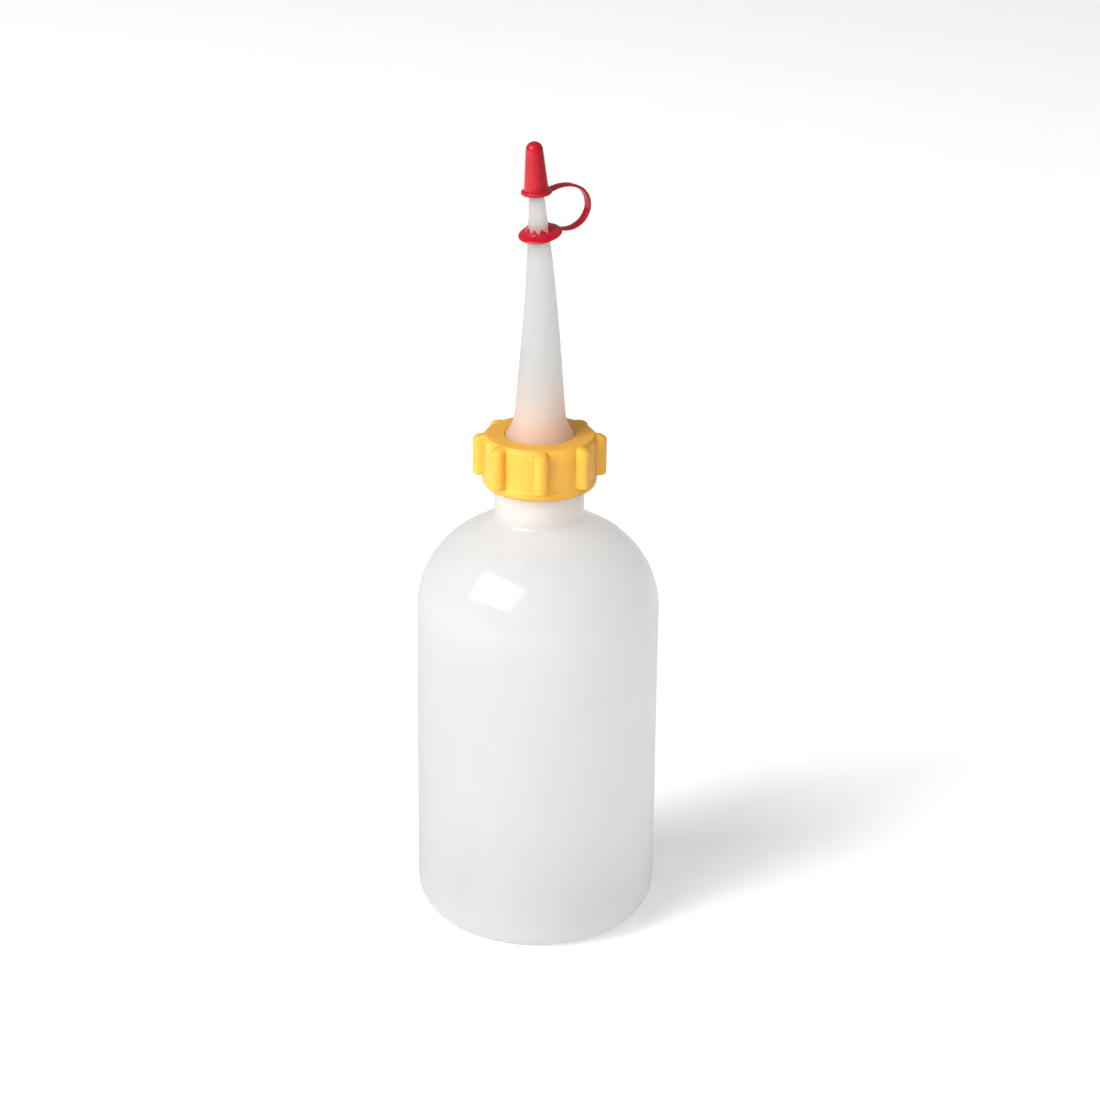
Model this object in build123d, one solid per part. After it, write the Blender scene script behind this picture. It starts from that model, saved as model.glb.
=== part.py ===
from build123d import *
import os
from math import atan, cos, degrees, radians, sin, tan

# Glue applicator bottle: squeeze bottle, screw nut, leaning cone nozzle and a tethered tip cap.
# Millimetres. +Z up, origin at the centre of the foot ring, -Y is the front.

# Bottle
BODY_R = 38.0
CORNER_R = 12.0
WALL = 1.2
FOOT_R = 21.5
PANEL_R = 18.0
PANEL_RISE = 1.8
PINCH_LENGTH = 34.0
PINCH_WIDTH = 1.0
PINCH_HEIGHT = 0.7
SHOULDER_Z = 105.1
SHOULDER_R = 29.2
SHOULDER_TURN = radians(60.8)
NECK_R = 14.0
NECK_BORE_R = 12.5
NECK_FILLET = 2.0
LIP_Z = 158.6
LIP_FILLET = 0.4

# Screw thread, shared by the neck and the nut
PITCH = 4.0
THREAD_TURNS = 1.75
THREAD_START_Z = 149.6
RIDGE_BASE = 2.4
RIDGE_CREST = 1.2
RIDGE_ROOT = 0.3
NECK_CREST_R = 15.5

# Screw nut
NUT_BOTTOM_Z = 146.0
NUT_TOP_Z = 162.5
NUT_TOP_THICKNESS = 2.2
NUT_SKIRT_R = 17.8
NUT_SIDE_R = 17.6
NUT_SKIRT_TOP_Z = 149.0
NUT_LIP_R = 1.8
NUT_BEVEL_R = 16.7
NUT_EDGE_Z = 161.6
NUT_HOLE_R = 10.9
NUT_ROOT_R = 15.85
NUT_CREST_R = 14.35
RIB_COUNT = 8
RIB_R = 2.35
RIB_CENTRE_R = 18.35
RIB_BOTTOM_Z = 149.3
RIB_TOP_Z = 162.4
RIB_HEAD_FILLET = 1.6
RIB_FOOT_FILLET = 0.7
RIB_PHASE = -88.5

# Nozzle
SEAT_GAP = 0.1
FLANGE_R = 14.8
FLANGE_THICKNESS = 1.5
PLUG_R = 12.35
PLUG_BORE_R = 11.1
PLUG_BOTTOM_Z = 152.0
PLUG_LEAD = 0.5
BOSS_R = 10.7
FLARE_TOP_Z = 169.3
CONE_REFERENCE_Z = 171.9
CONE_REFERENCE_R = 7.64
CONE_SLOPE = 0.0815
CHANNEL_WALL = 1.1
BOSS_WALL = 1.3
TIP_STATION = 252.0
TIP_BORE_R = 0.6
BEND_START = 192.0
BEND_END = 225.0
BEND_TURN = radians(3.3)
BEND_SECTIONS = 5

# Tip cap
CAP_BOTTOM = 238.0
CAP_TOP = 254.2
CAP_FLANGE_R = 4.75
CAP_FLANGE_THICKNESS = 1.5
CAP_CONE_BOTTOM = 241.2
CAP_CONE_R = 3.64
CAP_CONE_SLOPE = 0.094
CAP_CLEARANCE = 0.15
CAP_ROOF_GAP = 0.35
CAP_WAIST_R = 3.8

# Tether collar
COLLAR_STATION = 226.0
COLLAR_TILT = 12.3
COLLAR_HIGH_SIDE = 67.0
COLLAR_R = 6.75
COLLAR_OFFSET = 0.5
COLLAR_CLEARANCE = 0.12
CROWN_TOP = 2.5
CROWN_BASE_THICKNESS = 1.0
CROWN_TIP_THICKNESS = 0.4
TOOTH_COUNT = 8
NOTCH_BOTTOM = 0.85
NOTCH_TOP = 2.7
NOTCH_PHASE = 271.0
DISC_BOTTOM = 0.2
DISC_TOP = 0.95
DISC_SKIRT_R = 6.05
DISC_SKIRT_Z = -0.5
DISC_RIM_Z = -0.1
DISC_EDGE_R = 6.25
DISC_EDGE_Z = 0.35
DOME_R = 4.2
DOME_Z = 0.85

# Tether strap
STRAP_WIDTH = 2.6
STRAP_THICKNESS = 0.85
STRAP_DIRECTION = radians(35.0)
STRAP_CAP_GAP = 0.05

BEND_RADIUS = (BEND_END - BEND_START) / BEND_TURN
CAP_CONE_ANGLE = atan(CAP_CONE_SLOPE)


def side_plane():
    """Vertical plane through the axis: local x is the radius and local y is the height."""
    return Plane.XZ


def turned(face, axis=Axis.Z):
    """Solid of revolution of a face drawn in the side plane."""
    return revolve(side_plane() * face, axis=axis)


def centreline(station):
    """Location on the nozzle's centreline; a station is the height, measured along the lean."""
    if station <= BEND_START:
        return Location((0, 0, station))
    turn = min(station - BEND_START, BEND_END - BEND_START) / BEND_RADIUS
    straight = max(station - BEND_END, 0)
    x = -BEND_RADIUS * (1 - cos(turn)) - straight * sin(turn)
    z = BEND_START + BEND_RADIUS * sin(turn) + straight * cos(turn)
    return Location((x, 0, z), (0, -degrees(turn), 0))


def tip_frame():
    """Frame whose Z is the leaning tip's axis, with stations along it kept as heights."""
    return centreline(BEND_END) * Location((0, 0, -BEND_END))


def cone_radius(station):
    """Outer radius of the nozzle's cone."""
    return CONE_REFERENCE_R - CONE_SLOPE * (station - CONE_REFERENCE_Z)


def channel_radius(station):
    """Inner radius of the nozzle's channel, narrowing evenly to the tip bore."""
    share = (station - BEND_START) / (TIP_STATION - BEND_START)
    start = cone_radius(BEND_START) - CHANNEL_WALL
    return start + (TIP_BORE_R - start) * share


def bottle_form(inset, neck_radius):
    """Closed form inside the bottle's outline, moved inward by inset, up to the lip."""
    corner_x = BODY_R - CORNER_R
    shoulder_x = BODY_R - SHOULDER_R
    shoulder = SHOULDER_R - inset
    end_x = shoulder_x + shoulder * cos(SHOULDER_TURN)
    end_z = SHOULDER_Z + shoulder * sin(SHOULDER_TURN)
    neck_z = end_z + (end_x - neck_radius) / tan(SHOULDER_TURN)
    panel_z = inset + PANEL_RISE
    base = Polyline((0, panel_z), (PANEL_R, panel_z), (FOOT_R, inset), (corner_x, inset))
    corner = CenterArc((corner_x, CORNER_R), CORNER_R - inset, -90, 90)
    side = Line(corner @ 1, (BODY_R - inset, SHOULDER_Z))
    arc = CenterArc((shoulder_x, SHOULDER_Z), shoulder, 0, degrees(SHOULDER_TURN))
    top = Polyline(arc @ 1, (neck_radius, neck_z), (neck_radius, LIP_Z), (0, LIP_Z), (0, panel_z))
    face = make_face([base, corner, side, arc, top])
    root = face.vertices().sort_by_distance((neck_radius, neck_z))[0]
    return turned(fillet(root, NECK_FILLET))


def thread_ridge(base_radius, crest_radius, start_z):
    """Right-hand helical ridge whose base is sunk a little into the wall that carries it."""
    outward = 1 if crest_radius > base_radius else -1
    sunk = base_radius - outward * RIDGE_ROOT
    path = Helix(PITCH, PITCH * THREAD_TURNS, base_radius, center=(0, 0, start_z))
    start = Plane(origin=path @ 0, x_dir=(1, 0, 0), z_dir=path % 0)
    half_base = RIDGE_BASE / 2
    half_crest = RIDGE_CREST / 2
    outline = Polyline(
        (sunk - base_radius, -half_base),
        (crest_radius - base_radius, -half_crest),
        (crest_radius - base_radius, half_crest),
        (sunk - base_radius, half_base),
        close=True,
    )
    return sweep(start * make_face(outline), path=path, is_frenet=True)


def bottle():
    """Blow-moulded shell with a foot ring, a pinch-off seam under it and a threaded neck."""
    shell = bottle_form(0, NECK_R) + thread_ridge(NECK_R, NECK_CREST_R, THREAD_START_Z)
    shell -= bottle_form(WALL, NECK_BORE_R)
    pinch_z = PANEL_RISE - PINCH_HEIGHT / 2
    pinch = Pos(0, 0, pinch_z) * Box(PINCH_LENGTH, PINCH_WIDTH, PINCH_HEIGHT)
    lip = shell.edges().filter_by(GeomType.CIRCLE).group_by(Axis.Z)[-1]
    return fillet(lip, LIP_FILLET) + pinch


def grip_rib():
    """Half-round grip rib, rounded at its head and foot."""
    height = RIB_TOP_Z - RIB_BOTTOM_Z
    rib = Pos(0, 0, RIB_BOTTOM_Z + height / 2) * Cylinder(RIB_R, height)
    ends = rib.edges().filter_by(GeomType.CIRCLE).sort_by(Axis.Z)
    rib = fillet(ends[-1], RIB_HEAD_FILLET)
    foot = rib.edges().filter_by(GeomType.CIRCLE).sort_by(Axis.Z)[0]
    return fillet(foot, RIB_FOOT_FILLET)


def screw_nut():
    """Union nut: ribbed skirt, internal thread, and a top with a hole for the nozzle."""
    lip_r = NUT_SKIRT_R - NUT_LIP_R
    lip = CenterArc((lip_r, NUT_BOTTOM_Z + NUT_LIP_R), NUT_LIP_R, -90, 90)
    side = Polyline(
        lip @ 1,
        (NUT_SKIRT_R, NUT_SKIRT_TOP_Z),
        (NUT_SIDE_R, NUT_SKIRT_TOP_Z + NUT_SKIRT_R - NUT_SIDE_R),
        (NUT_SIDE_R, NUT_EDGE_Z),
        (NUT_BEVEL_R, NUT_TOP_Z),
        (0, NUT_TOP_Z),
        (0, NUT_BOTTOM_Z),
        lip @ 0,
    )
    nut = turned(make_face([lip, side]))
    for place in PolarLocations(RIB_CENTRE_R, RIB_COUNT, start_angle=RIB_PHASE):
        nut += place * grip_rib()
    roof_z = NUT_TOP_Z - NUT_TOP_THICKNESS
    depth = roof_z - NUT_BOTTOM_Z
    nut -= Pos(0, 0, NUT_BOTTOM_Z + depth / 2) * Cylinder(NUT_ROOT_R, depth)
    nut -= Pos(0, 0, roof_z) * Cylinder(NUT_HOLE_R, 4 * NUT_TOP_THICKNESS)
    return nut + thread_ridge(NUT_ROOT_R, NUT_CREST_R, THREAD_START_Z - PITCH / 2)


def nozzle_foot():
    """Upright part of the nozzle: plug skirt, clamping flange, boss, flare and lower cone."""
    flange_z = LIP_Z + SEAT_GAP
    flange_top = flange_z + FLANGE_THICKNESS
    flare_r = cone_radius(FLARE_TOP_Z)
    cone_run = (CONE_SLOPE, -1)
    bend_r = cone_radius(BEND_START)
    lower = Polyline(
        (PLUG_BORE_R, PLUG_BOTTOM_Z),
        (PLUG_R - PLUG_LEAD, PLUG_BOTTOM_Z),
        (PLUG_R, PLUG_BOTTOM_Z + PLUG_LEAD),
        (PLUG_R, flange_z),
        (FLANGE_R, flange_z),
        (FLANGE_R, flange_top),
        (BOSS_R, flange_top),
        (BOSS_R, NUT_TOP_Z),
    )
    flare = TangentArc((flare_r, FLARE_TOP_Z), (BOSS_R, NUT_TOP_Z), tangent=cone_run)
    cone = Line((bend_r, BEND_START), (flare_r, FLARE_TOP_Z))
    inner_top = (bend_r - CHANNEL_WALL, BEND_START)
    inner_flare = (flare_r - CHANNEL_WALL, FLARE_TOP_Z)
    inner_boss = (BOSS_R - BOSS_WALL, NUT_TOP_Z)
    rim = Line(inner_top, (bend_r, BEND_START))
    channel = Line(inner_flare, inner_top)
    throat = TangentArc(inner_flare, inner_boss, tangent=cone_run)
    funnel = Polyline(
        inner_boss,
        (BOSS_R - BOSS_WALL, flange_top),
        (PLUG_BORE_R, flange_z),
        (PLUG_BORE_R, PLUG_BOTTOM_Z),
    )
    return turned(make_face([lower, flare, cone, rim, channel, throat, funnel]))


def bent_length(radius_at):
    """Solid along the bend, lofted through round sections of the given radius."""
    step = (BEND_END - BEND_START) / (BEND_SECTIONS - 1)
    stations = [BEND_START + step * index for index in range(BEND_SECTIONS)]
    return loft([centreline(station) * Circle(radius_at(station)) for station in stations])


def tip_length(radius_at):
    """Straight leaning cone from the bend to the tip."""
    length = TIP_STATION - BEND_END
    cone = Cone(radius_at(BEND_END), radius_at(TIP_STATION), length)
    return tip_frame() * Pos(0, 0, BEND_END + length / 2) * cone


def nozzle():
    """Hollow cone nozzle with a gentle lean in its upper third."""
    bend = bent_length(cone_radius) - bent_length(channel_radius)
    tip = tip_length(cone_radius) - tip_length(channel_radius)
    return nozzle_foot() + bend + tip


def tip_cap():
    """Hollow red cap with a rounded flange at its mouth and a ball end."""
    edge_r = CAP_FLANGE_THICKNESS / 2
    flange_top = CAP_BOTTOM + CAP_FLANGE_THICKNESS
    edge = CenterArc((CAP_FLANGE_R - edge_r, CAP_BOTTOM + edge_r), edge_r, -90, 180)
    reach = CAP_TOP - CAP_CONE_BOTTOM
    ball_r = (CAP_CONE_R - CAP_CONE_SLOPE * reach) * cos(CAP_CONE_ANGLE) / (1 - sin(CAP_CONE_ANGLE))
    ball_z = CAP_TOP - ball_r
    ball = CenterArc((0, ball_z), ball_r, degrees(CAP_CONE_ANGLE), 90 - degrees(CAP_CONE_ANGLE))
    side = Polyline(edge @ 1, (CAP_WAIST_R, flange_top), (CAP_CONE_R, CAP_CONE_BOTTOM), ball @ 0)
    mouth_r = cone_radius(CAP_BOTTOM) + CAP_CLEARANCE
    roof = TIP_STATION + CAP_ROOF_GAP
    roof_r = cone_radius(roof) + CAP_CLEARANCE
    inside = Polyline(ball @ 1, (0, roof), (roof_r, roof), (mouth_r, CAP_BOTTOM), edge @ 0)
    return tip_frame() * turned(make_face([edge, side, ball, inside]))


def collar_frame():
    """Frame of the tilted collar: Z is its own axis, and it sits at the collar's station."""
    high_side = Rotation(0, 0, COLLAR_HIGH_SIDE)
    tilt = high_side * Rotation(0, -COLLAR_TILT, 0) * high_side.inverse()
    return tip_frame() * Pos(0, 0, COLLAR_STATION) * tilt


def collar_disc():
    """Shallow domed disc with a rounded rim, in the collar's own frame and a little off its centre."""
    lower = Line((0, DISC_BOTTOM), (DISC_SKIRT_R, DISC_SKIRT_Z))
    rim = ThreePointArc(lower @ 1, (COLLAR_R, DISC_RIM_Z), (DISC_EDGE_R, DISC_EDGE_Z))
    upper = Polyline(rim @ 1, (DOME_R, DOME_Z), (0, DISC_TOP), (0, DISC_BOTTOM))
    return Pos(COLLAR_OFFSET, 0, 0) * turned(make_face([lower, rim, upper]))


def crown_notch():
    """V-shaped cutter that opens one gap between two teeth of the crown."""
    half = NOTCH_TOP / 2
    face = make_face(Polyline((-half, CROWN_TOP), (0, NOTCH_BOTTOM), (half, CROWN_TOP), close=True))
    return extrude(Plane.YZ * face, amount=COLLAR_R)


def tether_collar():
    """Domed collar with a crown of pointed teeth that follow the nozzle's cone."""
    low = COLLAR_STATION
    high = COLLAR_STATION + CROWN_TOP + 1
    clearance = COLLAR_CLEARANCE
    crown_face = make_face(
        Polyline(
            (cone_radius(low) + clearance, low),
            (cone_radius(low) + clearance + CROWN_BASE_THICKNESS, low),
            (cone_radius(high) + clearance + CROWN_TIP_THICKNESS, high),
            (cone_radius(high) + clearance, high),
            close=True,
        )
    )
    crown = tip_frame() * turned(crown_face)
    crown &= collar_frame() * Pos(0, 0, CROWN_TOP / 2 + 0.1) * Cylinder(COLLAR_R, CROWN_TOP)
    for place in PolarLocations(0, TOOTH_COUNT, start_angle=NOTCH_PHASE):
        crown -= collar_frame() * place * crown_notch()
    span = 4 * CROWN_TOP
    passage = Cone(
        cone_radius(low - span / 2) + clearance,
        cone_radius(low + span / 2) + clearance,
        span,
    )
    disc = collar_frame() * collar_disc() - tip_frame() * Pos(0, 0, low) * passage
    return disc + crown


def strap_line():
    """Strap's centreline in its own upright plane: distance from the nozzle's axis, and height."""
    return Spline(
        (5.6, 227.2),
        (10.0, 225.6),
        (14.4, 226.2),
        (17.8, 229.0),
        (18.7, 232.4),
        (17.2, 236.1),
        (13.4, 238.5),
        (8.7, 239.3),
        (4.2, 238.8),
    )


def tether_strap(collar):
    """Flexible band from the collar's rim round to the cap's flange."""
    anchor = centreline((COLLAR_STATION + CAP_BOTTOM) / 2).position
    across = Vector(cos(STRAP_DIRECTION), sin(STRAP_DIRECTION), 0)
    plane = Plane(origin=(anchor.X, 0, 0), x_dir=across, z_dir=across.cross(Vector(0, 0, 1)))
    band = extrude(plane * trace(strap_line(), STRAP_THICKNESS), amount=STRAP_WIDTH / 2, both=True)
    cap_side = Cylinder(CAP_FLANGE_R + STRAP_CAP_GAP, 4 * CAP_FLANGE_THICKNESS)
    return band - tip_frame() * Pos(0, 0, CAP_BOTTOM) * cap_side - collar


def main():
    collar = tether_collar()
    nodes = {
        "bottle": bottle(),
        "screw_nut": screw_nut(),
        "nozzle": nozzle(),
        "tip_cap": tip_cap(),
        "tether_collar": collar,
        "tether_strap": tether_strap(collar),
    }
    os.makedirs("parts", exist_ok=True)
    for name, shape in nodes.items():
        shape.label = name
        export_step(shape, f"parts/{name}.step")


main()
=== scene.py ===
from math import acos, atan, atan2, ceil, cos, exp, hypot, pi, radians, sin, sqrt, tan

import bpy
from mathutils import Matrix, Vector


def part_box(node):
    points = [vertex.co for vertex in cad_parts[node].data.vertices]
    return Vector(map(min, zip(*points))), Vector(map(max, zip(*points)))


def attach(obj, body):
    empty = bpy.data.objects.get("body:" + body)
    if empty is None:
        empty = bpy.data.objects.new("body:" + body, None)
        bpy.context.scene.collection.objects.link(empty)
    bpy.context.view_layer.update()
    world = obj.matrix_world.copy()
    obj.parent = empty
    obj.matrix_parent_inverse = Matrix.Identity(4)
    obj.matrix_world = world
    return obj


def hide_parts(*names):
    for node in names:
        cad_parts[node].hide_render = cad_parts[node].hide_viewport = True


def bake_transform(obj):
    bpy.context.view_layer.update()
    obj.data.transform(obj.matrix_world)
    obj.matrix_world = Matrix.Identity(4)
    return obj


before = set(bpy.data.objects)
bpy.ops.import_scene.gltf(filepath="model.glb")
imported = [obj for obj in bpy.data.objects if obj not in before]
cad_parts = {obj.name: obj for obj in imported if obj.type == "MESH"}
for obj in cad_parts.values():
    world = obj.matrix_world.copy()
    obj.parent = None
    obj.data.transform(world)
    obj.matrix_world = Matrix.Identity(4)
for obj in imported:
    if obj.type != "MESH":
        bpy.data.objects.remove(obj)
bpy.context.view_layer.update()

# Every size below is in millimetres; MM turns it into Blender's metres.
MM = 0.001

# Bottle
BODY_R = 38.0
CORNER_R = 12.0
WALL = 1.2
FOOT_R = 21.5
PANEL_R = 18.0
PANEL_RISE = 1.8
SHOULDER_Z = 105.1
SHOULDER_R = 29.2
SHOULDER_TURN = radians(60.8)
NECK_R = 14.0
NECK_BORE_R = 12.5
NECK_FILLET = 2.0
LIP_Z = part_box("bottle")[1].z / MM
LIP_FILLET = 0.4
NECK_RUN = 9.0
PANEL_EDGE = 1.2
FOOT_EDGE = 1.0
BASE_POLE_R = 0.6
BOTTLE_COLUMNS = 144
BOTTLE_ROW = 3.0
THREAD_ROW = 0.25
SEAM_HEIGHT = 0.09
SEAM_WIDTH = 0.45
SEAM_COLUMNS = (0.3, 0.6, 0.95)
PINCH_LENGTH = 34.0
PINCH_HEIGHT = 0.6
PINCH_WIDTH = 1.1
PINCH_LIFT = 0.1
PINCH_END = 0.02
PINCH_RINGS = 24
PINCH_COLUMNS = 12
BODY_WAVE = 0.10

# Thread
PITCH = 4.0
THREAD_TURNS = 1.75
THREAD_START_Z = 149.6
RIDGE_BASE = 2.4
RIDGE_CREST = 1.2
RUN_OUT_TURNS = 0.05
NECK_CREST_R = 15.5

# Screw nut
NUT_BOTTOM_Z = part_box("screw_nut")[0].z / MM
NUT_TOP_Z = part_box("screw_nut")[1].z / MM
NUT_TOP_THICKNESS = 2.2
NUT_SKIRT_R = 17.8
NUT_SIDE_R = 17.6
NUT_SKIRT_TOP_Z = 149.0
NUT_LIP_R = 1.8
NUT_BEVEL_R = 16.7
NUT_EDGE_Z = 161.6
NUT_EDGE_BLEND = 0.25
NUT_ROW = 0.3
NUT_HOLE_R = 10.9
NUT_ROOT_R = 15.85
NUT_CREST_R = 14.35
RIB_COUNT = 8
RIB_R = 2.35
RIB_CENTRE_R = 18.35
RIB_BOTTOM_Z = 149.3
RIB_TOP_Z = 162.4
RIB_HEAD = 2.1
RIB_HEAD_POWER = 2.4
RIB_FOOT = 0.55
RIB_PHASE = radians(-88.5)
RIB_BLEND = 0.35
RIB_MARGINS = (0.14, 0.5)
RIB_FLANK_STEPS = 12
RIB_HEAD_STEPS = 14
RIB_HEAD_TAPER = 0.75
GAP_STEPS = 9

# Nozzle
FLANGE_R = 14.8
SEAT_GAP = 0.1
FLANGE_THICKNESS = 1.5
PLUG_R = 12.35
PLUG_BORE_R = 11.1
PLUG_BOTTOM_Z = 152.0
BOSS_R = 10.7
BOSS_WALL = 1.3
FLARE_TOP_Z = 169.3
CONE_REFERENCE_Z = 171.9
CONE_REFERENCE_R = 7.64
CONE_SLOPE = 0.0815
CHANNEL_WALL = 1.1
TIP_STATION = 252.0
TIP_BORE_R = 0.6
BEND_START = 192.0
BEND_END = 225.0
BEND_TURN = radians(3.3)
BEND_RADIUS = (BEND_END - BEND_START) / BEND_TURN
FLARE_STEPS = 12
NOZZLE_COLUMNS = 96
NOZZLE_ROW = 2.0

# Tip cap
CAP_BOTTOM = 238.0
CAP_TOP = 254.2
CAP_FLANGE_R = 4.75
CAP_FLANGE_THICKNESS = 1.5
CAP_CONE_BOTTOM = 241.2
CAP_CONE_R = 3.64
CAP_CONE_SLOPE = 0.094
CAP_CLEARANCE = 0.15
CAP_ROOF_GAP = 0.35
CAP_WAIST_R = 3.8
CAP_COLUMNS = 72
CAP_ROW = 0.8
CAP_ARC_STEPS = 12
CAP_POLE_TURN = 0.08
CAP_POLE_R = 0.15
CAP_MOUTH_LEAD = 0.3

# Tether collar
COLLAR_STATION = 226.0
COLLAR_TILT = 12.3
COLLAR_HIGH_SIDE = 67.0
COLLAR_R = 6.75
COLLAR_OFFSET = 0.5
COLLAR_OFFSET_START_R = 4.6
COLLAR_OFFSET_END_R = 6.0
COLLAR_CLEARANCE = 0.12
COLLAR_ROW = 0.7
COLLAR_BORE_DEPTH = 1.7
DISC_OUTLINE = [
    (4.9, -0.42, 0),
    (6.1, -0.55, 0.2),
    (COLLAR_R, -0.12, 0.12),
    (6.3, 0.3, 0.2),
    (4.75, 0.78, 0),
]
TOOTH_COUNT = 8
TOOTH_TOP = 2.6
NOTCH_BOTTOM = 0.95
NOTCH_PHASE = radians(271.0)
CROWN_BASE_THICKNESS = 0.9
CROWN_TIP_THICKNESS = 0.35
CROWN_SINK = 0.05
TOOTH_STEPS = 14
CROWN_OUTER_ROWS = (0.0, 0.25, 0.5, 0.75, 1.0)
CROWN_INNER_ROWS = (1.0, 0.6, 0.3, 0.0, -0.35, -0.75)
CONE_FIT_ROUNDS = 6

# Tether strap: distance from the tip's axis and height, from the collar round to the cap
STRAP_ROUTE = [(5.6, 227.3), (10.0, 225.95), (14.4, 226.6), (17.6, 229.3), (18.5, 232.6),
               (17.1, 236.3), (13.4, 238.85), (8.7, 239.6), (4.2, 238.9)]
STRAP_WIDTH = 2.6
STRAP_THICKNESS = 0.95
STRAP_DIRECTION = radians(35.0)
STRAP_FLARE = 0.25
STRAP_FLARE_SHARE = 0.09
STRAP_SQUARENESS = 0.35
STRAP_COLUMNS = 20
STRAP_STEPS = 10

# Camera: place, aim and lens, worked out for the whole frame
CAMERA_DISTANCE = 889.1
CAMERA_HEIGHT = 475.5
CAMERA_YAW = radians(0.227)
CAMERA_PITCH = radians(21.58)
CAMERA_ROLL = radians(0.654)
CAMERA_LENS = 100.19
SENSOR_WIDTH = 36.0

# Floor: side in metres, gap under the foot ring in millimetres
FLOOR_SIZE = 12.0
FLOOR_GAP = 0.02


# ---------------------------------------------------------------- outlines

def arc_points(centre, radius, start, sweep, steps):
    """Points on an arc, angles in radians."""
    angles = [start + sweep * i / steps for i in range(steps + 1)]
    return [(centre[0] + radius * cos(a), centre[1] + radius * sin(a)) for a in angles]


def rounded(corners, steps=5):
    """Outline through (radius, height, fillet) corners, with each fillet drawn as an arc."""
    points = []
    for index, (x, y, fillet) in enumerate(corners):
        if fillet == 0 or index in (0, len(corners) - 1):
            points.append((x, y))
            continue
        here = Vector((x, y))
        before = (Vector(corners[index - 1][:2]) - here).normalized()
        after = (Vector(corners[index + 1][:2]) - here).normalized()
        half = acos(max(-1, min(1, before.dot(after)))) / 2
        reach = fillet / tan(half)
        centre = here + (before + after).normalized() * fillet / sin(half)
        first = here + before * reach - centre
        last = here + after * reach - centre
        start = atan2(first.y, first.x)
        sweep = (atan2(last.y, last.x) - start + pi) % (2 * pi) - pi
        points += arc_points(centre, fillet, start, sweep, steps)
    return points


def divided(points, longest):
    """The same outline with no run longer than the given length."""
    result = [points[0]]
    for (x0, y0), (x1, y1) in zip(points, points[1:]):
        parts = max(1, ceil(hypot(x1 - x0, y1 - y0) / longest - 1e-9))
        result += [(x0 + (x1 - x0) * i / parts, y0 + (y1 - y0) * i / parts) for i in range(1, parts + 1)]
    return result


def flare_points(top, bottom, slope, steps):
    """Arc from top that starts along the cone's slope and ends at bottom."""
    chord = Vector(bottom) - Vector(top)
    run = Vector((slope, -1)).normalized()
    turn = atan2(run.x * chord.y - run.y * chord.x, run.dot(chord))
    normal = Vector((-run.y, run.x)) * (1 if turn > 0 else -1)
    radius = chord.length / (2 * abs(sin(turn)))
    centre = Vector(top) + normal * radius
    start = atan2(top[1] - centre.y, top[0] - centre.x)
    return arc_points(centre, radius, start, 2 * turn, steps)


# ---------------------------------------------------------------- mesh building

def ring_mesh(name, rings, material, closed=True, sharp=40):
    """Mesh through equal rings of points: closed joins the last to the first, else each end has a pole."""
    columns = len(rings[0])
    vertices = [tuple(c * MM for c in point) for ring in rings for point in ring]
    faces = []
    rows = len(rings)
    for row in range(rows if closed else rows - 1):
        low = row * columns
        high = (row + 1) % rows * columns
        for column in range(columns):
            after = (column + 1) % columns
            faces.append((low + column, low + after, high + after, high + column))
    if not closed:
        for row, turned_over in ((0, True), (rows - 1, False)):
            ring = rings[row]
            pole = [sum(p[k] for p in ring) / columns * MM for k in range(3)]
            vertices.append(tuple(pole))
            for column in range(columns):
                pair = [row * columns + column, row * columns + (column + 1) % columns]
                if turned_over:
                    pair.reverse()
                faces.append((pair[0], pair[1], len(vertices) - 1))
    mesh = bpy.data.meshes.new(name)
    mesh.from_pydata(vertices, [], faces)
    mesh.validate()
    mesh.materials.append(material)
    mesh.shade_smooth()
    mesh.set_sharp_from_angle(angle=radians(sharp))
    piece = bpy.data.objects.new(name, mesh)
    bpy.context.scene.collection.objects.link(piece)
    return piece


def even_angles(columns):
    """Angles all the way round, evenly spaced."""
    return [2 * pi * i / columns for i in range(columns)]


def turned(name, outline, angles, material, place, closed, change=None, sharp=40):
    """Solid turned from an outline; change(radius, angle, station) may move its surface in or out."""
    rings = []
    for radius, station in outline:
        ring = []
        for angle in angles:
            r = change(radius, angle, station) if change else radius
            ring.append(place(r * cos(angle), r * sin(angle), station))
        rings.append(ring)
    return ring_mesh(name, rings, material, closed, sharp)


def upright(x, y, station):
    """The bottle's own frame."""
    return (x, y, station)


def bend_matrix(station):
    """Frame on the nozzle's centreline, which leans towards -X above the bend's start."""
    turn = min(max(station - BEND_START, 0), BEND_END - BEND_START) / BEND_RADIUS
    straight = max(station - BEND_END, 0)
    x = -BEND_RADIUS * (1 - cos(turn)) - straight * sin(turn)
    z = min(station, BEND_START) + BEND_RADIUS * sin(turn) + straight * cos(turn)
    return Matrix.Translation((x, 0, z)) @ Matrix.Rotation(-turn, 4, "Y")


def along_nozzle(x, y, station):
    """A point beside the nozzle's centreline."""
    return tuple(bend_matrix(station) @ Vector((x, y, 0)))


TIP_FRAME = bend_matrix(BEND_END) @ Matrix.Translation((0, 0, -BEND_END))
COLLAR_TURN = Matrix.Rotation(radians(COLLAR_HIGH_SIDE), 4, "Z")
COLLAR_LEAN = COLLAR_TURN @ Matrix.Rotation(radians(-COLLAR_TILT), 4, "Y") @ COLLAR_TURN.inverted()
COLLAR_FRAME = TIP_FRAME @ Matrix.Translation((0, 0, COLLAR_STATION)) @ COLLAR_LEAN


def on_tip(x, y, station):
    """A point beside the leaning tip's axis."""
    return tuple(TIP_FRAME @ Vector((x, y, station)))


def cone_radius(station):
    """Outer radius of the nozzle's cone."""
    return CONE_REFERENCE_R - CONE_SLOPE * (station - CONE_REFERENCE_Z)


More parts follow.
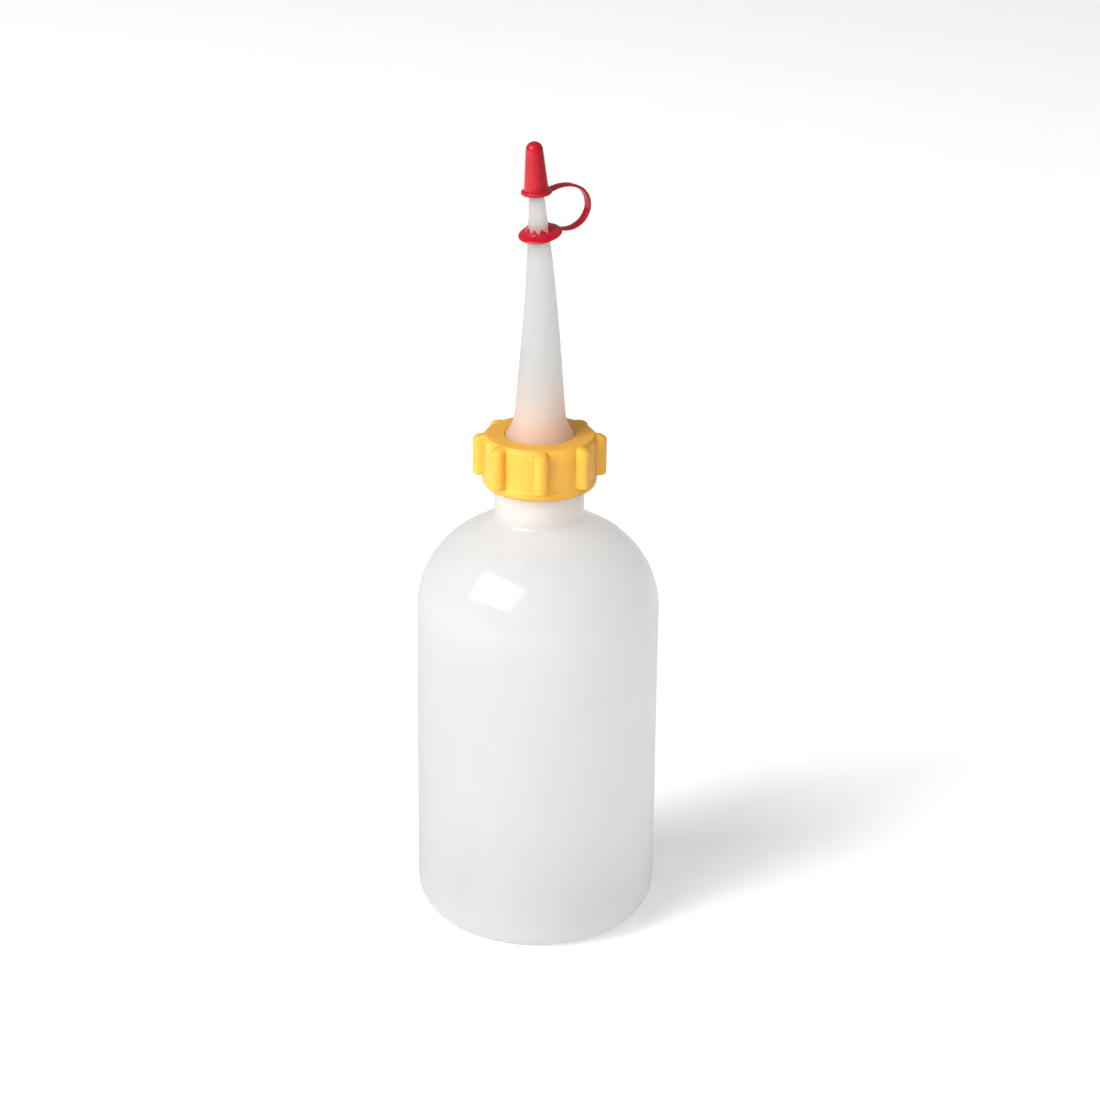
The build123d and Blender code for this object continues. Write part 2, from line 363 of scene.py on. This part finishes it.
def ridge(angle, station, start_z):
    """Height of a right-hand thread ridge: 0 on the root, 1 on the crest, fading out at its ends."""
    height = 0
    for lap in range(ceil(THREAD_TURNS)):
        turns = angle / (2 * pi) + lap
        if turns > THREAD_TURNS:
            continue
        off = abs(station - start_z - PITCH * turns)
        flank = (RIDGE_BASE / 2 - off) / ((RIDGE_BASE - RIDGE_CREST) / 2)
        ends = min(turns, THREAD_TURNS - turns) / RUN_OUT_TURNS
        height = max(height, min(1, flank) * min(1, ends))
    return max(0, height)


# ---------------------------------------------------------------- bottle

def bottle_outline(inset, neck_radius):
    """The bottle's outline from the base's centre to the neck's root, moved inward by inset."""
    corner_x = BODY_R - CORNER_R
    shoulder_x = BODY_R - SHOULDER_R
    shoulder = SHOULDER_R - inset
    end = (shoulder_x + shoulder * cos(SHOULDER_TURN), SHOULDER_Z + shoulder * sin(SHOULDER_TURN))
    neck_z = end[1] + (end[0] - neck_radius) / tan(SHOULDER_TURN)
    base = rounded([
        (BASE_POLE_R, inset + PANEL_RISE, 0),
        (PANEL_R, inset + PANEL_RISE, PANEL_EDGE),
        (FOOT_R, inset, FOOT_EDGE),
        (corner_x - 0.3, inset, 0),
    ])
    corner = arc_points((corner_x, CORNER_R), CORNER_R - inset, -pi / 2, pi / 2, 16)
    shoulder_arc = arc_points((shoulder_x, SHOULDER_Z), shoulder, 0, SHOULDER_TURN, 26)
    neck = rounded([(*end, 0), (neck_radius, neck_z, NECK_FILLET), (neck_radius, neck_z + NECK_RUN, 0)], 8)
    side = divided([corner[-1], shoulder_arc[0]], BOTTLE_ROW)
    return divided(base + corner, BOTTLE_ROW) + side[1:] + shoulder_arc[1:] + neck[1:]


def bottle_surface(radius, angle, station):
    """The neck's thread, the mould's parting line and the slight waviness of a blown wall."""
    if radius > NECK_BORE_R + WALL and station > THREAD_START_Z - RIDGE_BASE:
        return radius + (NECK_CREST_R - NECK_R) * ridge(angle, station, THREAD_START_Z)
    if radius < FOOT_R + CORNER_R / 2 or station > SHOULDER_Z + SHOULDER_R:
        return radius
    seam_angle = (angle + pi / 2) % pi - pi / 2
    seam = SEAM_HEIGHT * exp(-((seam_angle * radius / SEAM_WIDTH) ** 2))
    wave = BODY_WAVE * (sin(2 * angle + 0.6 + station / 31) + 0.5 * sin(5 * angle + station / 17) - 1.5) / 3
    return radius + seam + wave


def bottle_angles():
    """Even angles, with extra ones beside the parting line on each side."""
    angles = set(even_angles(BOTTLE_COLUMNS))
    for side in (0, pi):
        for step in SEAM_COLUMNS:
            for sign in (-1, 1):
                angles.add((side + sign * step * SEAM_WIDTH / BODY_R) % (2 * pi))
    return sorted(angles)


def pinch_off(material):
    """Raised weld line across the recessed base, left where the mould closed."""
    half = PINCH_LENGTH / 2
    rings = []
    for i in range(PINCH_RINGS + 1):
        x = -half + PINCH_LENGTH * i / PINCH_RINGS
        taper = sqrt(max(PINCH_END, 1 - (x / half) ** 4))
        ring = []
        for around in even_angles(PINCH_COLUMNS):
            y = PINCH_WIDTH / 2 * taper * cos(around)
            ring.append((x, y, PANEL_RISE + PINCH_LIFT + PINCH_HEIGHT * taper * sin(around)))
        rings.append(ring)
    return ring_mesh("bottle_pinch_off", rings, material, closed=False)


def make_bottle(material):
    """Blown shell: outside, lip and inside in one closed surface."""
    outer = bottle_outline(0, NECK_R)
    inner = bottle_outline(WALL, NECK_BORE_R)
    lip = rounded([
        (*outer[-1], 0),
        (NECK_R, LIP_Z, LIP_FILLET),
        (NECK_BORE_R, LIP_Z, LIP_FILLET),
        (*inner[-1], 0),
    ])
    neck = divided(lip[:2], THREAD_ROW)
    outline = outer + neck[1:] + lip[2:-1] + list(reversed(inner))
    shell = turned("bottle_shell", outline, bottle_angles(), material, upright, False, bottle_surface)
    return [shell, pinch_off(material)]


# ---------------------------------------------------------------- screw nut

def nut_angles():
    """Angles that follow each rib's round flank closely, and a few across each gap."""
    flank = [RIB_R * sin(-pi / 2 + pi * i / RIB_FLANK_STEPS) for i in range(RIB_FLANK_STEPS + 1)]
    after = [RIB_R + margin for margin in RIB_MARGINS]
    before = [-offset for offset in reversed(after)]
    near = [atan(offset / RIB_CENTRE_R) for offset in before + flank + after]
    pitch = 2 * pi / RIB_COUNT
    gap = [near[-1] + (pitch - 2 * near[-1]) * i / GAP_STEPS for i in range(1, GAP_STEPS)]
    angles = [(RIB_PHASE + pitch * rib + a) for rib in range(RIB_COUNT) for a in near + gap]
    return sorted(a % (2 * pi) for a in angles)


def rib_reach(angle, station):
    """How far out a grip rib stands at this angle and height, or 0 off the rib."""
    pitch = 2 * pi / RIB_COUNT
    off = (angle - RIB_PHASE + pitch / 2) % pitch - pitch / 2
    head = max(0, station - (RIB_TOP_Z - RIB_HEAD)) / RIB_HEAD
    foot = max(0, RIB_BOTTOM_Z + RIB_FOOT - station) / RIB_FOOT
    if head >= 1 or foot > 1:
        return 0
    head_drop = (1 - (1 - head ** RIB_HEAD_POWER) ** (1 / RIB_HEAD_POWER)) * RIB_R
    foot_drop = (1 - sqrt(1 - foot ** 2)) * RIB_FOOT
    radius = RIB_R - head_drop * RIB_HEAD_TAPER - foot_drop
    centre = RIB_CENTRE_R - head_drop
    across = RIB_CENTRE_R * sin(off)
    if abs(across) > radius:
        return 0
    return centre + sqrt(radius ** 2 - across ** 2) - (1 - cos(off)) * centre


def soft_max(a, b, blend):
    """The larger of two radii, with a moulded fillet where they meet."""
    share = max(0, min(1, 0.5 + (a - b) / (2 * blend)))
    return b + (a - b) * share + blend * share * (1 - share)


def nut_surface(radius, angle, station):
    """Grip ribs outside, thread inside."""
    if radius >= NUT_SKIRT_R - NUT_LIP_R:
        reach = rib_reach(angle, station)
        return max(radius, soft_max(reach, radius, RIB_BLEND)) if reach > 0 else radius
    if radius > NUT_ROOT_R - 0.2 and station < NUT_TOP_Z - NUT_TOP_THICKNESS - 1:
        return radius - (NUT_ROOT_R - NUT_CREST_R) * ridge(angle, station, THREAD_START_Z - PITCH / 2)
    return radius


def nut_side(station):
    """The nut's own outer radius near its top: a straight side, then a bevel, with a soft edge between."""
    return -soft_max(-NUT_SIDE_R, station - NUT_EDGE_Z - NUT_SIDE_R, NUT_EDGE_BLEND)


def make_nut(material):
    """Union nut as one closed surface."""
    roof = NUT_TOP_Z - NUT_TOP_THICKNESS
    skirt = rounded([
        (NUT_ROOT_R + 0.1, NUT_BOTTOM_Z, 0),
        (NUT_SKIRT_R, NUT_BOTTOM_Z, NUT_LIP_R),
        (NUT_SKIRT_R, NUT_SKIRT_TOP_Z, 0.1),
        (NUT_SIDE_R, NUT_SKIRT_TOP_Z + 0.3, 0.1),
        (NUT_SIDE_R, RIB_TOP_Z - RIB_HEAD, 0),
    ])
    head = []
    for step in range(1, RIB_HEAD_STEPS + 1):
        rise = sin(pi / 2 * step / RIB_HEAD_STEPS) ** (2 / RIB_HEAD_POWER)
        station = RIB_TOP_Z - RIB_HEAD * (1 - rise)
        head.append((nut_side(station), station))
    top = rounded([
        (*head[-1], 0),
        (NUT_BEVEL_R, NUT_TOP_Z, 0.08),
        (NUT_HOLE_R, NUT_TOP_Z, 0.25),
        (NUT_HOLE_R, roof, 0.15),
        (NUT_ROOT_R, roof, 0.4),
        (NUT_ROOT_R, NUT_BOTTOM_Z + 0.4, 0.0),
    ])
    outline = divided(skirt, NUT_ROW) + head + divided(top, NUT_ROW)[1:]
    return [turned("nut_moulding", outline, nut_angles(), material, upright, True, nut_surface)]


# ---------------------------------------------------------------- nozzle

def make_nozzle(material):
    """Plug skirt, clamping flange, flare and the long leaning cone, hollow throughout."""
    flange_z = LIP_Z + SEAT_GAP
    flange_top = flange_z + FLANGE_THICKNESS
    flare_r = cone_radius(FLARE_TOP_Z)
    foot = rounded([
        (PLUG_BORE_R, PLUG_BOTTOM_Z + 1, 0),
        (PLUG_BORE_R, PLUG_BOTTOM_Z, 0.25),
        (PLUG_R, PLUG_BOTTOM_Z, 0.5),
        (PLUG_R, flange_z, 0.2),
        (FLANGE_R, flange_z, 0.3),
        (FLANGE_R, flange_top, 0.3),
        (BOSS_R, flange_top, 0.1),
        (BOSS_R, NUT_TOP_Z, 0),
    ])
    flare = flare_points((flare_r, FLARE_TOP_Z), (BOSS_R, NUT_TOP_Z), CONE_SLOPE, FLARE_STEPS)
    tip_r = cone_radius(TIP_STATION)
    tip = rounded([
        (flare_r, FLARE_TOP_Z, 0),
        (tip_r, TIP_STATION, 0.15),
        (TIP_BORE_R, TIP_STATION, 0.12),
        (cone_radius(BEND_START) - CHANNEL_WALL, BEND_START, 0),
        (flare_r - CHANNEL_WALL, FLARE_TOP_Z, 0),
    ])
    throat_r = BOSS_R - BOSS_WALL
    throat_top = (flare_r - CHANNEL_WALL, FLARE_TOP_Z)
    throat = flare_points(throat_top, (throat_r, NUT_TOP_Z), CONE_SLOPE, FLARE_STEPS)
    funnel = [(throat_r, flange_top), (PLUG_BORE_R, flange_z)]
    outline = divided(foot + list(reversed(flare))[1:] + tip[1:] + throat[1:] + funnel, NOZZLE_ROW)
    return [turned("nozzle_cone", outline, even_angles(NOZZLE_COLUMNS), material, along_nozzle, True)]


# ---------------------------------------------------------------- tip cap

def make_cap(material):
    """Hollow cap with a rolled flange and a ball end."""
    edge_r = CAP_FLANGE_THICKNESS / 2
    angle = atan(CAP_CONE_SLOPE)
    reach = CAP_TOP - CAP_CONE_BOTTOM
    ball_r = (CAP_CONE_R - CAP_CONE_SLOPE * reach) * cos(angle) / (1 - sin(angle))
    ball_z = CAP_TOP - ball_r
    edge = arc_points((CAP_FLANGE_R - edge_r, CAP_BOTTOM + edge_r), edge_r, -pi / 2, pi, CAP_ARC_STEPS)
    waist = rounded([
        (*edge[-1], 0),
        (CAP_WAIST_R, CAP_BOTTOM + CAP_FLANGE_THICKNESS, 0.0),
        (CAP_CONE_R + 0.05, CAP_CONE_BOTTOM - 0.9, 0.5),
        (ball_r * cos(angle), ball_z + ball_r * sin(angle), 0),
    ])
    ball = arc_points((0, ball_z), ball_r, angle, pi / 2 - angle - CAP_POLE_TURN, CAP_ARC_STEPS)
    roof = TIP_STATION + CAP_ROOF_GAP
    roof_r = cone_radius(roof) + CAP_CLEARANCE
    mouth_r = cone_radius(CAP_BOTTOM) + CAP_CLEARANCE
    inside = rounded([
        (CAP_POLE_R, roof, 0),
        (roof_r, roof, 0.3),
        (mouth_r, CAP_BOTTOM + CAP_MOUTH_LEAD, 0),
        (mouth_r + CAP_MOUTH_LEAD, CAP_BOTTOM, 0),
    ])
    outline = list(reversed(inside)) + edge + waist[1:] + ball[1:]
    outline.reverse()
    outline = divided(outline, CAP_ROW)
    return [turned("cap_moulding", outline, even_angles(CAP_COLUMNS), material, on_tip, False)]


# ---------------------------------------------------------------- tether collar

def beside_cone(angle, height, gap):
    """Point in the tilted collar's frame, at this angle and height, that stands gap clear of the cone."""
    to_tip = TIP_FRAME.inverted() @ COLLAR_FRAME
    radius = cone_radius(COLLAR_STATION)
    for _ in range(CONE_FIT_ROUNDS):
        point = to_tip @ Vector((radius * cos(angle), radius * sin(angle), height))
        radius += cone_radius(point.z) + gap - hypot(point.x, point.y)
    return radius


def disc_rings(angles):
    """Rings of the domed disc as (radius, height), drawn off the crown's centre towards its rim."""
    rings = []
    for radius, height in divided(rounded(DISC_OUTLINE), COLLAR_ROW):
        share = (radius - COLLAR_OFFSET_START_R) / (COLLAR_OFFSET_END_R - COLLAR_OFFSET_START_R)
        offset = COLLAR_OFFSET * max(0, min(1, share))
        rings.append([(radius + offset * cos(angle), height) for angle in angles])
    return rings


def crown_outside(angles, share):
    """Ring on the teeth's outer face, at this share of each column's height."""
    ring = []
    for column, angle in enumerate(angles):
        top = tooth_height(column)
        height = NOTCH_BOTTOM - CROWN_SINK + (top - NOTCH_BOTTOM) * share
        thinning = (CROWN_BASE_THICKNESS - CROWN_TIP_THICKNESS) * share * top / TOOTH_TOP
        thickness = CROWN_BASE_THICKNESS - thinning
        ring.append((beside_cone(angle, height, COLLAR_CLEARANCE + thickness), height))
    return ring


def crown_inside(angles, share):
    """Ring on the face that lies along the cone; below 0 the share counts down the disc's bore."""
    ring = []
    for column, angle in enumerate(angles):
        run = tooth_height(column) - NOTCH_BOTTOM if share > 0 else COLLAR_BORE_DEPTH
        height = NOTCH_BOTTOM + run * share
        ring.append((beside_cone(angle, height, COLLAR_CLEARANCE), height))
    return ring


def make_collar(material):
    """Domed disc whose hole rises into a crown of pointed teeth that lie along the cone."""
    columns = TOOTH_COUNT * TOOTH_STEPS
    angles = [NOTCH_PHASE + turn for turn in even_angles(columns)]
    rings = disc_rings(angles)
    rings += [crown_outside(angles, share) for share in CROWN_OUTER_ROWS]
    rings += [crown_inside(angles, share) for share in CROWN_INNER_ROWS]
    placed = [
        [tuple(COLLAR_FRAME @ Vector((r * cos(a), r * sin(a), h))) for (r, h), a in zip(ring, angles)]
        for ring in rings
    ]
    return [ring_mesh("collar_moulding", placed, material, True, 50)]


def tooth_height(column):
    """Height of the crown at a column: a notch's bottom at 0, a tooth's point half way to the next."""
    share = column % TOOTH_STEPS / TOOTH_STEPS
    rise = 1 - abs(2 * share - 1)
    return NOTCH_BOTTOM + (TOOTH_TOP - NOTCH_BOTTOM) * rise


# ---------------------------------------------------------------- tether strap

def smooth_route(points, per_run):
    """Points on a smooth curve through a route."""
    curve = bpy.data.curves.new("route", "CURVE")
    curve.dimensions = "3D"
    spline = curve.splines.new("BEZIER")
    spline.bezier_points.add(len(points) - 1)
    for spot, point in zip(spline.bezier_points, points):
        spot.co = point
        spot.handle_left_type = "AUTO"
        spot.handle_right_type = "AUTO"
    spline.resolution_u = per_run
    holder = bpy.data.objects.new("route", curve)
    mesh = bpy.data.meshes.new_from_object(holder)
    line = [v.co.copy() for v in mesh.vertices]
    bpy.data.objects.remove(holder)
    bpy.data.meshes.remove(mesh)
    return line


def squared(value):
    """A sine or cosine pushed out towards -1 or 1, which turns a circle into a soft-edged square."""
    return abs(value) ** STRAP_SQUARENESS * (1 if value > 0 else -1)


def make_strap(material):
    """Flexible band, rectangular in section with soft edges, a little wider at its two ends."""
    across = Vector((cos(STRAP_DIRECTION), sin(STRAP_DIRECTION), 0))
    side = across.cross(Vector((0, 0, 1)))
    anchor = TIP_FRAME @ Vector((0, 0, (COLLAR_STATION + CAP_BOTTOM) / 2))
    base = Vector((anchor.x, 0, 0))
    line = smooth_route([base + across * r + Vector((0, 0, z)) for r, z in STRAP_ROUTE], STRAP_STEPS)
    rings = []
    for i, point in enumerate(line):
        run = (line[min(i + 1, len(line) - 1)] - line[max(i - 1, 0)]).normalized()
        out = side.cross(run).normalized()
        end = min(i, len(line) - 1 - i) / (len(line) - 1)
        half = STRAP_WIDTH / 2 * (1 + STRAP_FLARE * max(0, 1 - end / STRAP_FLARE_SHARE) ** 2)
        ring = []
        for around in even_angles(STRAP_COLUMNS):
            wide = side * squared(cos(around)) * half
            tall = out * squared(sin(around)) * STRAP_THICKNESS / 2
            ring.append(tuple(point + wide + tall))
        rings.append(ring)
    return [ring_mesh("strap_band", rings, material, closed=False, sharp=60)]


# ---------------------------------------------------------------- materials

class Nodes:
    """Short calls for the few kinds of node that the materials use."""

    def __init__(self, name):
        self.material = bpy.data.materials.new(name)
        self.material.use_nodes = True
        self.tree = self.material.node_tree
        self.tree.nodes.clear()
        self.output = self.add("OutputMaterial")
        place = self.add("TexCoord").outputs["Object"]
        self.place = self.vector("SCALE", place, scale=1 / MM)

    def add(self, kind):
        return self.tree.nodes.new("ShaderNode" + kind)

    def link(self, source, target):
        self.tree.links.new(source, target)

    def fill(self, socket, value):
        if isinstance(value, bpy.types.NodeSocket):
            self.link(value, socket)
        else:
            socket.default_value = value

    def vector(self, operation, value, scale):
        node = self.add("VectorMath")
        node.operation = operation
        self.fill(node.inputs[0], value)
        node.inputs["Scale"].default_value = scale
        return node.outputs[0]

    def noise(self, size, detail=2.0, stretch=(1, 1, 1)):
        """Noise whose blobs are about size millimetres, longer where stretch is more than 1."""
        mapping = self.add("Mapping")
        self.link(self.place, mapping.inputs["Vector"])
        mapping.inputs["Scale"].default_value = [1 / (size * s) for s in stretch]
        node = self.add("TexNoise")
        node.inputs["Scale"].default_value = 1
        node.inputs["Detail"].default_value = detail
        self.link(mapping.outputs[0], node.inputs["Vector"])
        return node.outputs[0]

    def height(self):
        """Height above the floor, in millimetres."""
        node = self.add("SeparateXYZ")
        self.link(self.place, node.inputs[0])
        return node.outputs["Z"]

    def range(self, value, low, high, start=0.0, end=1.0):
        """Smooth change from start to end as value goes from low to high."""
        node = self.add("MapRange")
        node.interpolation_type = "SMOOTHSTEP"
        self.fill(node.inputs["Value"], value)
        node.inputs["From Min"].default_value = low
        node.inputs["From Max"].default_value = high
        node.inputs["To Min"].default_value = start
        node.inputs["To Max"].default_value = end
        return node.outputs[0]

    def math(self, operation, a, b):
        node = self.add("Math")
        node.operation = operation
        self.fill(node.inputs[0], a)
        self.fill(node.inputs[1], b)
        return node.outputs[0]

    def mix(self, share, a, b):
        """Colour between a and b."""
        node = self.add("Mix")
        node.data_type = "RGBA"
        self.fill(node.inputs[0], share)
        self.fill(node.inputs[6], a)
        self.fill(node.inputs[7], b)
        return node.outputs[2]

    def bump(self, heights, depth):
        """Normal from a height pattern, with its full height in millimetres."""
        node = self.add("Bump")
        node.inputs["Strength"].default_value = 1
        node.inputs["Distance"].default_value = depth * MM
        self.link(heights, node.inputs["Height"])
        return node.outputs[0]

    def plastic(
        self, colour, roughness, normal, specular=0.5, coat=0.0, coat_roughness=0.1, coat_ior=1.5, glow=0.0
    ):
        """Plain or lacquered surface; glow is a faint light of its own."""
        node = self.add("BsdfPrincipled")
        self.fill(node.inputs["Base Color"], colour)
        self.fill(node.inputs["Roughness"], roughness)
        self.link(normal, node.inputs["Normal"])
        node.inputs["Coat Weight"].default_value = coat
        node.inputs["Coat Roughness"].default_value = coat_roughness
        node.inputs["Coat IOR"].default_value = coat_ior
        node.inputs["Specular IOR Level"].default_value = specular
        node.inputs["Emission Color"].default_value = (1, 1, 1, 1)
        node.inputs["Emission Strength"].default_value = glow
        return node.outputs[0]

    def through(self, surface, share, colour, normal):
        """The surface with part of its light passing through the wall."""
        glow = self.add("BsdfTranslucent")
        self.fill(glow.inputs["Color"], colour)
        self.link(normal, glow.inputs["Normal"])
        mix = self.add("MixShader")
        self.fill(mix.inputs[0], share)
        self.link(surface, mix.inputs[1])
        self.link(glow.outputs[0], mix.inputs[2])
        return mix.outputs[0]

    def finish(self, surface):
        self.link(surface, self.output.inputs["Surface"])
        return self.material


def colour(red, green, blue):
    return (red, green, blue, 1)


def bottle_material():
    """Milky polyethylene: cloudy wall, painted shade darkening it towards the foot, painted warm light from
    the nut round the neck.
    """
    n = Nodes("milky_polyethylene")
    clouds = n.noise(34, 2, (1, 1, 1.6))
    flow = n.noise(5, 3, (1, 1, 9))
    base = n.mix(n.range(clouds, 0.3, 0.7), colour(0.862, 0.863, 0.863), colour(0.888, 0.889, 0.889))
    base = n.mix(n.range(flow, 0.4, 0.75, 0, 0.25), base, colour(0.905, 0.906, 0.906))
    height = n.height()
    # painted shade: the wall is made darker towards the foot
    base = n.mix(n.range(height, 50, 3, 0, 0.5), base, colour(0.83, 0.83, 0.825))
    # painted warm light: the neck is tinted as if lit by the yellow nut
    base = n.mix(n.range(height, 122, 148, 0, 0.55), base, colour(0.91, 0.86, 0.80))
    scuffs = n.noise(0.8, 4, (1, 1, 6))
    roughness = n.range(scuffs, 0.35, 0.75, 0.06, 0.11)
    grain = n.math("ADD", n.math("MULTIPLY", n.noise(0.35, 2), 0.15), n.noise(5.5, 2))
    normal = n.bump(grain, 0.007)
    surface = n.plastic(base, roughness, normal, coat=1.0, coat_roughness=0.02, specular=1.0, coat_ior=1.9)
    share = n.math("SUBTRACT", n.range(clouds, 0.3, 0.7, 0.84, 0.88), n.range(height, 128, 146, 0, 0.22))
    return n.finish(n.through(surface, share, base, normal))


def nozzle_material():
    """Natural polyethylene, greyer than the bottle, with painted warm light from the nut at its base and
    painted pink light from the red collar.
    """
    n = Nodes("natural_polyethylene")
    clouds = n.noise(9, 2, (1, 1, 3))
    base = n.mix(n.range(clouds, 0.3, 0.7), colour(0.81, 0.81, 0.808), colour(0.835, 0.835, 0.833))
    height = n.height()
    # painted warm light from the yellow nut, stronger towards the nozzle's base
    base = n.mix(n.range(height, 188, 163, 0, 0.5), base, colour(0.92, 0.78, 0.66))
    base = n.mix(n.range(height, 172, 161, 0, 0.6), base, colour(0.94, 0.68, 0.50))
    # painted pink light from the red collar, in a band round the collar's height
    painted_collar_light = n.math("MULTIPLY", n.range(height, 229.5, 227.5), n.range(height, 223.0, 225.0))
    base = n.mix(n.math("MULTIPLY", painted_collar_light, 0.5), base, colour(0.93, 0.52, 0.55))
    drag = n.noise(0.5, 3, (1, 1, 14))
    roughness = n.range(drag, 0.3, 0.7, 0.28, 0.42)
    normal = n.bump(n.math("ADD", drag, n.noise(0.3, 2)), 0.008)
    surface = n.plastic(base, roughness, normal)
    return n.finish(n.through(surface, n.range(height, 184, 162, 0.90, 0.76), base, normal))


def nut_material():
    """Yellow polypropylene, satin, with faint flow marks and lighter colour on sharp convex edges."""
    n = Nodes("yellow_polypropylene")
    clouds = n.noise(7, 3)
    base = n.mix(n.range(clouds, 0.3, 0.7), colour(0.79, 0.435, 0.047), colour(0.84, 0.475, 0.062))
    flow = n.noise(1.4, 3, (1, 1, 6))
    base = n.mix(n.range(flow, 0.45, 0.8, 0, 0.25), base, colour(0.90, 0.53, 0.09))
    # lighter colour on sharp convex edges
    edge = n.add("NewGeometry").outputs["Pointiness"]
    base = n.mix(n.range(edge, 0.52, 0.62, 0, 0.35), base, colour(0.93, 0.60, 0.13))
    roughness = n.range(n.noise(1.1, 4), 0.3, 0.7, 0.28, 0.40)
    normal = n.bump(n.math("ADD", n.noise(0.28, 2), n.noise(1.9, 2)), 0.012)
    surface = n.plastic(base, roughness, normal, coat=0.1, coat_roughness=0.2, specular=0.4)
    return n.finish(n.through(surface, 0.28, base, normal))


def red_material():
    """Red polyethylene, glossy, with fine level moulding rings and slight scuffs."""
    n = Nodes("red_polyethylene")
    clouds = n.noise(4, 3)
    base = n.mix(n.range(clouds, 0.3, 0.7), colour(0.32, 0.005, 0.013), colour(0.37, 0.008, 0.018))
    edge = n.add("NewGeometry").outputs["Pointiness"]
    base = n.mix(n.range(edge, 0.52, 0.64, 0, 0.4), base, colour(0.52, 0.05, 0.06))
    scuffs = n.noise(0.6, 4, (1, 1, 0.4))
    roughness = n.range(scuffs, 0.35, 0.75, 0.12, 0.22)
    rings = n.noise(1.0, 2, (9, 9, 0.45))
    normal = n.bump(n.math("ADD", rings, n.math("MULTIPLY", n.noise(0.22, 2), 0.4)), 0.012)
    surface = n.plastic(base, roughness, normal, specular=0.26)
    return n.finish(n.through(surface, 0.06, base, normal))


def floor_material():
    """Pale matt paper, lit a little from within so that it stays white."""
    n = Nodes("studio_floor")
    base = n.mix(n.range(n.noise(40, 3), 0.3, 0.7), colour(0.925, 0.92, 0.915), colour(0.935, 0.93, 0.925))
    normal = n.bump(n.noise(1.5, 3), 0.01)
    return n.finish(n.plastic(base, 0.9, normal, specular=0.1, glow=0.17))


# ---------------------------------------------------------------- assembly

def put(pieces, body, node):
    """Each piece rides on its body and stands for its CAD node, which is hidden."""
    for piece in pieces:
        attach(piece, body)
        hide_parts(node)


red = red_material()
put(make_bottle(bottle_material()), "bottle", "bottle")
put(make_nut(nut_material()), "nut", "screw_nut")
put(make_nozzle(nozzle_material()), "nozzle", "nozzle")
put(make_cap(red), "cap", "tip_cap")
put(make_collar(red), "collar", "tether_collar")

strap = make_strap(red)[0]
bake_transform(strap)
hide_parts("tether_strap")


# ---------------------------------------------------------------- stage, light and camera

def make_floor():
    """Large pale floor, a hair below the foot ring."""
    half = FLOOR_SIZE / 2
    mesh = bpy.data.meshes.new("studio_floor")
    corners = [(-half, -half, 0), (half, -half, 0), (half, half, 0), (-half, half, 0)]
    mesh.from_pydata(corners, [], [(0, 1, 2, 3)])
    mesh.materials.append(floor_material())
    floor = bpy.data.objects.new("studio_floor", mesh)
    floor.location.z = -FLOOR_GAP * MM
    bpy.context.scene.collection.objects.link(floor)


def area_light(name, place, aim, width, height, power, mirrored=True):
    """Rectangular soft box at place, facing aim; metres and watts. Unmirrored ones leave no reflection."""
    data = bpy.data.lights.new(name, "AREA")
    data.shape = "RECTANGLE"
    data.size = width
    data.size_y = height
    data.energy = power
    light = bpy.data.objects.new(name, data)
    light.location = place
    light.visible_glossy = mirrored
    light.rotation_euler = (Vector(aim) - Vector(place)).to_track_quat("-Z", "Y").to_euler()
    bpy.context.scene.collection.objects.link(light)


def make_world():
    """Even, faintly warm white surround."""
    world = bpy.data.worlds.new("studio")
    bpy.context.scene.world = world
    world.use_nodes = True
    background = world.node_tree.nodes["Background"]
    background.inputs["Color"].default_value = colour(1.0, 0.985, 0.975)
    background.inputs["Strength"].default_value = 0.30


def make_camera():
    """Camera at the front, above the bottle, looking down at it with a long lens."""
    data = bpy.data.cameras.new("camera")
    data.sensor_width = SENSOR_WIDTH
    data.lens = CAMERA_LENS
    data.clip_end = 100
    heading = Vector((sin(CAMERA_YAW), cos(CAMERA_YAW), 0))
    ahead = heading * cos(CAMERA_PITCH) - Vector((0, 0, sin(CAMERA_PITCH)))
    level = Vector((cos(CAMERA_YAW), -sin(CAMERA_YAW), 0))
    above = level.cross(ahead)
    right = level * cos(CAMERA_ROLL) + above * sin(CAMERA_ROLL)
    up = above * cos(CAMERA_ROLL) - level * sin(CAMERA_ROLL)
    turn = Matrix((right, up, -ahead)).transposed().to_4x4()
    camera = bpy.data.objects.new("camera", data)
    camera.matrix_world = Matrix.Translation((0, -CAMERA_DISTANCE * MM, CAMERA_HEIGHT * MM)) @ turn
    bpy.context.scene.collection.objects.link(camera)
    bpy.context.scene.camera = camera


make_floor()
make_world()
make_camera()
area_light("key", (-2.15, -1.61, 2.52), (0, 0, 0.12), width=3.0, height=2.1, power=121)
area_light("low_key", (-2.62, -1.96, 1.45), (0, 0, 0.08), width=1.6, height=1.1, power=100, mirrored=False)
area_light("front_fill", (0.6, -2.8, 2.3), (0, 0, 0.12), width=2.4, height=1.8, power=42, mirrored=False)
bpy.context.scene.view_settings.view_transform = "Standard"
